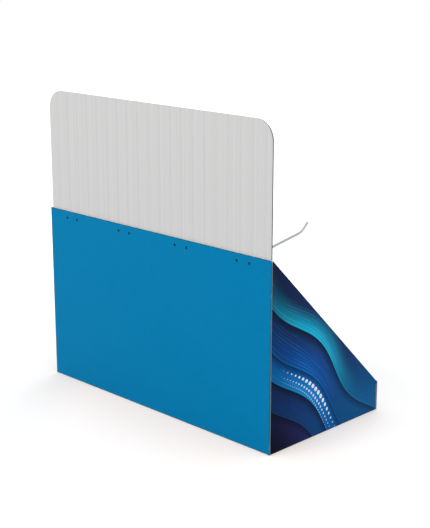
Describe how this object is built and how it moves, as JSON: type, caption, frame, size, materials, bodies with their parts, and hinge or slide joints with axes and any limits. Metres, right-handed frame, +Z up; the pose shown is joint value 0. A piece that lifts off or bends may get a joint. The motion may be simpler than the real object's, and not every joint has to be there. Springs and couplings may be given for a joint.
{
  "type": "counter display stand",
  "caption": "Counter display stand folded from thin corrugated board: open tray with sloping sides, tall header card and wire hooks along its back panel.",
  "frame": {"origin": "middle of the footprint, on the surface that the stand rests on", "axes": "+X across the stand, to the right as seen from behind; +Y from the back panel to the front lip; +Z up"},
  "size_m": [0.4002, 0.2042, 0.3935],
  "materials": {
    "tray_board": "matte uncoated inner liner, light grey",
    "header_board": "matte uncoated liner, light grey with faint flute lines",
    "blue_print": "satin varnished print, plain blue",
    "navy_print": "satin varnished print, navy",
    "royal_print": "satin varnished print, royal blue",
    "cyan_print": "satin varnished print, cyan",
    "hook_wire": "bright zinc-plated steel wire"
  },
  "bodies": {
    "root": {"tray": "tray_board", "header_card": "header_board", "back_print": "blue_print", "lip_print": "blue_print", "header_print": "blue_print", "left_print_navy": "navy_print", "left_print_royal": "royal_print", "left_print_cyan": "cyan_print", "right_print_navy": "navy_print", "right_print_royal": "royal_print", "right_print_cyan": "cyan_print", "hook_1": "hook_wire", "hook_2": "hook_wire", "hook_3": "hook_wire", "hook_4": "hook_wire"}
  },
  "joints": []
}
